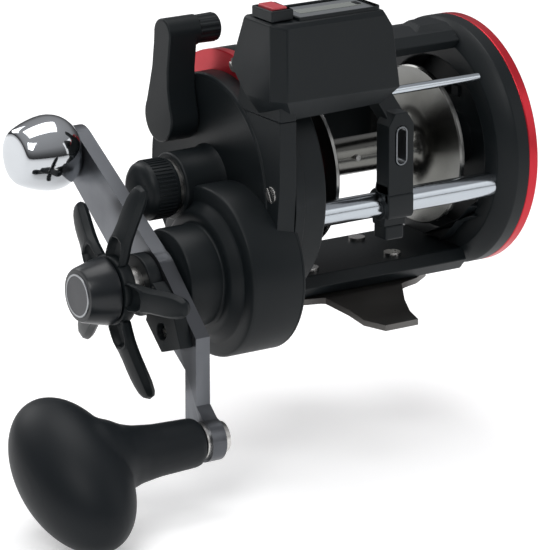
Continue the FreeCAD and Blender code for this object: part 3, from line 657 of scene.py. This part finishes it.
@dataclass
class Rings:
    """Frame rings, crossbars, ribs and side plates."""

    shop: Shop
    radius: float = 36.0
    bore: float = 25.0

    def build(self) -> None:
        """Makes the frame and softens its plates and foot."""
        self.frame()
        self.shop.softened("palm_rim", RED, "reel_frame", 0.4)
        self.shop.softened("gear_side_plate", RED, "reel_frame", 0.35)
        self.shop.softened("palm_side_plate", BLACK, "reel_frame", 0.6)
        self.shop.softened("reel_foot", FOOT, "reel_frame", 0.35)

    def frame(self) -> None:
        """Two rings joined by the foot's bed, a thumb bar and a humped top bar."""
        r, b = self.radius, self.bore
        palm = turned([(35, b), (27.4, b), (27, b + 0.4), (27, 31.5), (29.4, 34.9), (31, r), (35, r),
                       (35, b)])
        gear = turned([(-41, b), (-33.9, b), (-33.5, b + 0.4), (-33.5, 35.4), (-34.1, r), (-41, r), (-41, b)])
        bed = slab([(-16, -31.6), (-13, -35), (13, -35), (16, -31.6), (14, -28.5), (-14, -28.5)], -35, 63)
        thumb = slab([(27, -6), (28, -7), (32.6, -6), (33.5, -5), (33.5, 5), (32.6, 6), (28, 7), (27, 6)],
                     -35, 63)
        bar = slab([(-10, 29.5), (8, 29.5), (8, 33.8), (0, 35), (-8, 34.4), (-11, 32)], -35, 63)
        hump = hull([(14, -8, 33), (28, -10, 33), (16, 6, 33), (28, 8, 33),
                     (19, -4, 35.9), (28, -5, 35.9), (20, 3, 35.9), (28, 4, 35.9)])
        ribs = [hull([(27.6, -8 + k, -28), (27.6, -6 + k, -28), (27.6, -21, -13 - k / 3),
                      (27.6, -22.4, -14.4 - k / 3), (24.6, -7 + k, -28), (24.6, -21.6, -14 - k / 3)])
                for k in (0, 9)]
        web = turned([(-37, 9), (-36.4, 9), (-36.4, b + 0.2), (-37, b + 0.2), (-37, 9)])
        whole = joined(palm, gear, web, bed, thumb, bar, hump, *ribs)
        self.shop.finish("reel_body", whole, BLACK, "reel_frame", ("main_frame",), bevel=0.4)


@dataclass
class LevelWind:
    """Line guide on its tube and rod."""

    shop: Shop
    centre: float = -7.2
    half: float = 4.2

    def build(self) -> None:
        """Makes the guide, its ring and the pawl's cap."""
        a, h = self.centre, self.half
        plate = slab([(a - h, -3), (a + h, -3), (a + h, 17), (a + h - 2.2, 20.5), (a - h + 2.2, 20.5),
                      (a - h, 17)], -33.4, 6.2, "Y", stadium((a, 11.1), 1.9, 5.6))
        collar = turned([(a - h, 3.4), (a - h, 4.2), (a - h + 0.5, 4.7), (a + h - 0.5, 4.7), (a + h, 4.2),
                         (a + h, 3.4), (a - h, 3.4)], (-27.5, -6.5), 64)
        brow = hull([(x, y, z) for x in (a - h, a + h) for y, z in
                     ((-33.6, -8.6), (-33.6, -3), (-31.4, -2), (-31.4, -9.6), (-32.9, -9.8))])
        neck = hull([(x, y, z) for x in (a - h, a + h) for y, z in
                     ((-33.4, -6), (-33.2, 0), (-27, 0), (-26.5, -2))])
        arm = hull([(x, y, z) for x in (a - h + 1, a + h - 1) for y, z in
                    ((-32, 18), (-27.4, 17), (-22, 25.4), (-19.2, 25.4), (-19.2, 22))])
        foot = hull([(x, y, z) for x in (a - h + 0.6, a + h - 0.6) for y, z in
                     ((-31, -9), (-24, -9), (-30.4, -12.6), (-24.6, -12.6))])
        self.shop.finish("guide_body", joined(plate, collar, brow, neck, arm, foot), BLACK, "guide",
                         ("line_guide",), bevel=0.6)
        ring = slab(stadium((a, 11.1), 1.9, 5.6), -33.7, 6.7, "Y", stadium((a, 11.1), 1.4, 5.1))
        self.shop.finish("guide_insert", ring, INSERT, "guide", ("guide_ring",), bevel=0.2)
        cap = slab([(a - 3.1, -30.6), (a + 3.1, -30.6), (a + 3.1, -24.4), (a - 3.1, -24.4)], -16.6, 4.3, "Z")
        self.shop.finish("guide_cap", cap, BLACK, "guide", ("pawl_cap",), bevel=0.7)


@dataclass
class Spool:
    """Line spool with its tie pin."""

    shop: Shop

    def build(self) -> None:
        """Turns the spool."""
        half = [(22, 2.7), (22, 22.6), (21.7, 23), (20.8, 23), (20.4, 22.6), (19.6, 12), (18.9, 9.2),
                (17.6, 7.3), (15.6, 6.0), (13.6, 5.3)]
        profile = half + [(-x, r) for x, r in reversed(half)]
        self.shop.finish("spool_turned", turned(profile, steps=128), SPOOL, "spool", ("spool",), smooth=40)


@dataclass
class Crank:
    """Handle bar, star wheel, nut cap, counterweight and knob."""

    shop: Shop
    main: tuple[float, float] = (-16.0, -21.0)
    eye: tuple[float, float] = (-43.5, -58.5)
    weight: tuple[float, float] = (25.0, 7.5)
    knob_x: float = -119.5
    knob_lean: float = 31.0
    egg_half: Point = (14.6, 25.0, 15.0)
    badge_half: Point = (7.7, 11.6, 6.2)

    def build(self) -> None:
        """Makes every piece that turns with the handle."""
        for node, look in (("handle_bar", HANDLE), ("handle_collar", BLACK), ("lock_block", BLACK)):
            self.shop.softened(node, look, "handle", 0.5)
        self.counterweight()
        self.cap()
        self.star()
        self.knob()

    def counterweight(self) -> None:
        """Barrel-shaped weight with a soft end."""
        profile = [(-79, 0), (-79, 7.3), (-79.3, 7.8), (-80.5, 8.9), (-82.4, 10.2), (-85.6, 10.9),
                   (-89, 10.5), (-93, 9.3), (-95.8, 8.0), (-96.7, 7.2), (-97, 6.2), (-97, 0)]
        self.shop.finish("weight_turned", turned(profile, self.weight, 96), CHROME, "handle",
                         ("counterweight",), subdivide=1, smooth=60)

    def cap(self) -> None:
        """Cap over the handle's nut, with a plain ringed badge."""
        profile = [(-92.3, 5), (-92.3, 9.1), (-92.6, 9.4), (-93.4, 9.4), (-100.3, 7.6), (-100.9, 7.2),
                   (-101, 6.7), (-101, 0)]
        self.shop.finish("nut_cover", turned(profile, self.main), BLACK_GLOSS, "handle", ("nut_cap",))
        disc = turned([(-101, 5.5), (-101.25, 5.4), (-101.25, 0)], self.main)
        self.shop.finish("cap_disc", disc, BADGE, "handle", ("cap_badge",))
        ring = turned([(-101, 6.0), (-101.3, 5.95), (-101.3, 5.45), (-101, 5.4)], self.main)
        self.shop.finish("cap_ring", ring, BADGE_RING, "handle")

    def star(self) -> None:
        """Five claws that dish back towards the reel, each with a slot near its root."""
        stations = ((7.0, -92.0, 5.0, 4.8), (12, -91.8, 4.6, 4.0), (17, -91.2, 4.8, 3.8),
                    (22, -90.3, 5.0, 4.1), (27, -88.9, 5.0, 4.0), (31.6, -87.2, 4.0, 2.6))
        claws = []
        for k in range(5):
            claw = bmesh.new()
            before: list[bmesh.types.BMEdge] = []
            for reach, front, deep, half in stations:
                corners = ((front, -half), (front, half), (front + deep, half), (front + deep, -half))
                ring = [claw.verts.new((x, reach, side)) for x, side in corners]
                loop = [claw.edges.new((ring[i - 1], ring[i])) for i in range(4)]
                if before:
                    bmesh.ops.bridge_loops(claw, edges=before + loop)
                before = loop
            bmesh.ops.holes_fill(claw, edges=claw.edges, sides=4)
            bmesh.ops.recalc_face_normals(claw, faces=claw.faces)
            slot = [f for f in claw.faces if f.normal.x < -0.7 and 9 < f.calc_center_median().y < 19]
            bmesh.ops.inset_region(claw, faces=slot, thickness=1.25, depth=0)
            slot = [f for f in slot if f.is_valid]
            bmesh.ops.inset_region(claw, faces=slot, thickness=0.3, depth=-2.4)
            turn = Matrix.Rotation(math.radians(33 + 72 * k), 4, "X")
            bmesh.ops.transform(claw, matrix=Matrix.Translation((0, *self.main)) @ turn, verts=claw.verts)
            claws.append(claw)
        hub = turned([(-87.5, 3.2), (-87.5, 9.2), (-88.2, 10), (-91.4, 10), (-92, 9.4), (-92, 3.2)],
                     self.main)
        self.shop.finish("star_drag", joined(hub, *claws), BLACK, "star", ("star_wheel",), bevel=0.75,
                         segments=3, subdivide=1, smooth=80)

    def knob(self) -> None:
        """Soft egg on a stem, blended where they meet, with an oval end badge."""
        x, (y, z) = self.knob_x, self.eye
        lean = Matrix.Rotation(math.radians(self.knob_lean), 4, "X")
        egg = bmesh.new()
        bmesh.ops.create_uvsphere(egg, u_segments=64, v_segments=40, radius=1.0)
        bmesh.ops.transform(egg, matrix=Matrix.Translation((x, y, z - 2)) @ lean
                            @ Matrix.Diagonal((*self.egg_half, 1)), verts=egg.verts)
        stem = turned([(x, 0), (x, 13), (x + 8, 12.4), (x + 12, 11), (x + 15.5, 9.2), (x + 19.5, 8.0),
                       (x + 26, 7.2), (-81.8, 6.8), (-80.9, 6.4), (-80.3, 5.4), (-80.3, 0)], self.eye, 64)
        piece = self.shop.finish("knob_egg", joined(egg, stem), GRIP, "knob", ("knob_grip",), smooth=80)
        blend = piece.modifiers.new("blend", "REMESH")
        blend.mode = "VOXEL"
        blend.voxel_size = 0.0007
        blend.use_smooth_shade = True
        relax = piece.modifiers.new("relax", "SMOOTH")
        relax.factor = 0.5
        relax.iterations = 12
        badge = bmesh.new()
        bmesh.ops.create_uvsphere(badge, u_segments=48, v_segments=24, radius=1.0)
        bmesh.ops.transform(badge, matrix=Matrix.Translation((x - 6.6, y + 2, z - 3)) @ lean
                            @ Matrix.Diagonal((*self.badge_half, 1)), verts=badge.verts)
        self.shop.finish("knob_badge", badge, GRIP_BADGE, "knob", smooth=80)


@dataclass
class Controls:
    """Clutch lever and tension knob."""

    shop: Shop
    pivot: tuple[float, float] = (10.7, 17.1)
    length: float = 24.0
    ridges: int = 45
    flutes: int = 14

    def build(self) -> None:
        """Makes both controls."""
        self.lever()
        self.tension()

    def lever(self) -> None:
        """Waisted lever with a peg whose outer half is fluted."""
        y, z = self.pivot
        top = z + self.length
        outline = (arc((y, z), 7.2, 150, 390, 28)
                   + [(y + 4.6, z + 9), (y + 3.2, z + 14), (y + 2.2, top - 3)]
                   + arc((y - 2.3, top), 4.3, -5, 185, 16)
                   + [(y - 6.2, top - 3), (y - 5.2, z + 14), (y - 5.2, z + 9)])
        blade = slab(outline, -59, 9.1)
        pivot = turned([(-49.9, 2.9), (-45, 2.9), (-45, 0)], self.pivot, 48)
        peg = turned([(-51, 4.3), (-49.5, 4.3), (-48.6, 4.3)], (y - 2.3, top), 56)
        grooves = []
        for i in range(self.flutes * 2 + 1):
            angle = math.pi * i / self.flutes
            radius = 4.3 if i % 2 == 0 else 3.75
            grooves.append((y - 2.3 + radius * math.cos(angle), top + radius * math.sin(angle)))
        fluted = slab(grooves[:-1], -48.6, 6.6)
        nose = turned([(-42, 3.9), (-41.6, 3.4), (-41.4, 2.6), (-41.4, 0)], (y - 2.3, top), 56)
        self.shop.finish("clutch_arm", joined(blade, pivot, peg, fluted, nose), BLACK, "clutch",
                         ("clutch_lever",), bevel=0.8, segments=4)

    def tension(self) -> None:
        """Knurled cap with a smooth domed end."""
        cap = turned([(-63, 0), (-63, 8.0), (-63.3, 8.2), (-63.8, 8.2), (-70.2, 8.2), (-71.2, 7.9),
                      (-72.0, 7.1), (-72.5, 5.8), (-72.5, 0)])
        ridge = []
        for i in range(self.ridges):
            rib = hull([(x, r, w) for x in (-64.2, -69.9) for r, w in
                        ((8.05, -0.34), (8.05, 0.34), (8.5, -0.16), (8.5, 0.16))])
            bmesh.ops.rotate(rib, cent=(0, 0, 0), verts=rib.verts,
                             matrix=Matrix.Rotation(2 * math.pi * i / self.ridges, 3, "X"))
            ridge.append(rib)
        self.shop.finish("tension_cap", joined(cap, *ridge), BLACK, "tension", ("tension_knob",), smooth=36)


@dataclass
class Screws:
    """Slotted screw heads and rivets."""

    shop: Shop

    def build(self) -> None:
        """Makes slotted heads where the frame's plain ones lie."""
        plate = [(-6, 33.4), (24, 23.4), (33.4, 5), (28.5, -18.5)]
        heads = joined(*(self.head(y, z, -44.9, 2.0, 35 + 40 * i) for i, (y, z) in enumerate(plate)))
        self.shop.finish("plate_screw_heads", heads, SCREW, "reel_frame", ("plate_screws",), bevel=0.12)
        self.shop.finish("cover_screw_head", self.head(-32, 3.1, -49.5, 2.3, 62), SCREW, "reel_frame",
                         ("cover_screws",), bevel=0.12)
        self.shop.finish("lock_screw_head", self.head(-29.7, -30.6, -81.5, 2.0, 20), SCREW, "handle",
                         ("lock_screw",), bevel=0.12)

    @staticmethod
    def head(y: float, z: float, face: float, radius: float, turn: float) -> bmesh.types.BMesh:
        """A slotted head.

        Args:
            y: Centre across the reel.
            z: Centre's height.
            face: Where its outer face lies on X.
            radius: Its radius.
            turn: Angle of the slot in degrees.

        Returns:
            Two half discs and the slot's floor.
        """
        gap = 16
        halves = [slab(arc((y, z), radius, turn + side + gap, turn + side + 180 - gap, 20), face, 0.9)
                  for side in (0, 180)]
        floor = slab(arc((y, z), radius * 0.98, 0, 345, 23), face + 0.45, 0.4)
        return joined(*halves, floor)


@dataclass
class Studio:
    """Floor, lights and camera, in metres."""

    eye: Point = (-0.6309, -0.93987, 0.34958)
    look: Point = (0.5206, 0.8031, -0.2899)
    up: Point = (0.1577, 0.2432, 0.9570)
    lens: float = 275.97

    def build(self, lowest: float) -> None:
        """Sets the stage.

        Args:
            lowest: Height of the object's lowest point.
        """
        self.floor(lowest)
        self.world()
        target = Vector((-0.03, 0, 0.03))
        for name, spot, size, power in (
                ("key", (-0.75, -0.65, 0.95), 0.55, 5.0), ("fill", (0.75, -0.8, 0.45), 0.7, 1.6),
                ("top", (0.0, 0.15, 1.0), 0.7, 5.0), ("rim", (-0.25, 0.85, 0.5), 0.5, 2.5)):
            light = bpy.data.lights.new(name, "AREA")
            light.shape = "SQUARE"
            light.size, light.energy = size, power
            lamp = bpy.data.objects.new(name, light)
            lamp.location = spot
            lamp.rotation_euler = (target - lamp.location).to_track_quat("-Z", "Y").to_euler()
            bpy.context.scene.collection.objects.link(lamp)
        self.camera()
        bpy.context.scene.view_settings.view_transform = "Standard"

    @staticmethod
    def floor(lowest: float) -> None:
        """A wide pale floor.

        Args:
            lowest: Height of the object's lowest point.
        """
        mesh = bmesh.new()
        bmesh.ops.create_grid(mesh, x_segments=1, y_segments=1, size=12)
        bmesh.ops.translate(mesh, vec=(0, 0, lowest - 0.0005), verts=mesh.verts)
        data = bpy.data.meshes.new("floor")
        mesh.to_mesh(data)
        mesh.free()
        plane = bpy.data.objects.new("floor", data)
        bpy.context.scene.collection.objects.link(plane)
        paper = bpy.data.materials.new("floor_paper")
        paper.use_nodes = True
        shader = paper.node_tree.nodes["Principled BSDF"]
        shader.inputs["Base Color"].default_value = (0.9, 0.9, 0.9, 1)
        shader.inputs["Roughness"].default_value = 0.9
        shader.inputs["Emission Color"].default_value = (1, 1, 1, 1)
        shader.inputs["Emission Strength"].default_value = 0.34
        data.materials.append(paper)
        plane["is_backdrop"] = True

    @staticmethod
    def world() -> None:
        """Surroundings that go from a dark horizon to a white ceiling."""
        world = bpy.data.worlds.new("studio")
        world.use_nodes = True
        tree = world.node_tree
        where = tree.nodes.new("ShaderNodeTexCoord")
        split = tree.nodes.new("ShaderNodeSeparateXYZ")
        ramp = tree.nodes.new("ShaderNodeValToRGB")
        stops = ramp.color_ramp.elements
        shades = ((0.0, 0.35), (0.47, 0.3), (0.52, 0.1), (0.6, 0.25), (0.75, 0.75), (1.0, 1.0))
        for at, _ in shades[1:-1]:
            stops.new(at)
        for stop, (_, shade) in zip(stops, shades):
            stop.color = (shade, shade, shade * 1.03, 1)
        height = tree.nodes.new("ShaderNodeMapRange")
        height.inputs["From Min"].default_value = -1
        tree.links.new(where.outputs["Generated"], split.inputs["Vector"])
        tree.links.new(split.outputs["Z"], height.inputs["Value"])
        tree.links.new(height.outputs["Result"], ramp.inputs["Fac"])
        tree.links.new(ramp.outputs["Color"], tree.nodes["Background"].inputs["Color"])
        tree.nodes["Background"].inputs["Strength"].default_value = 0.5
        bpy.context.scene.world = world

    def camera(self) -> None:
        """Camera at the object's three-quarter view."""
        data = bpy.data.cameras.new("camera")
        data.sensor_fit, data.sensor_width, data.lens = "HORIZONTAL", 36, self.lens
        ahead = Vector(self.look).normalized()
        side = ahead.cross(Vector(self.up)).normalized()
        turn = Matrix((side, side.cross(ahead), -ahead)).transposed()
        camera = bpy.data.objects.new("camera", data)
        camera.matrix_world = Matrix.Translation(self.eye) @ turn.to_4x4()
        bpy.context.scene.collection.objects.link(camera)
        bpy.context.scene.camera = camera


def main() -> None:
    """Builds the reel piece by piece."""
    logging.basicConfig(level=logging.INFO, format="%(message)s")
    for spare in list(bpy.data.objects):
        bpy.data.objects.remove(spare)
    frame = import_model()
    cad_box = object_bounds()
    materials = Materials()
    for finish, nodes in CAD_FINISHES.items():
        for node in nodes:
            slots = frame["nodes"][node].data.materials
            slots.clear()
            slots.append(materials.of(finish))
    shop = Shop(Place.from_frame(), materials)
    for part in (Housing(shop), Rings(shop), LevelWind(shop), Spool(shop), Crank(shop), Controls(shop),
                 Screws(shop)):
        part.build()
        LOG.info("%s done", type(part).__name__)
    lowest = min(cad_box[0].z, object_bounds()[0].z)
    Studio().build(lowest)
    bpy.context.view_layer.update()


if __name__ == "__main__":
    main()
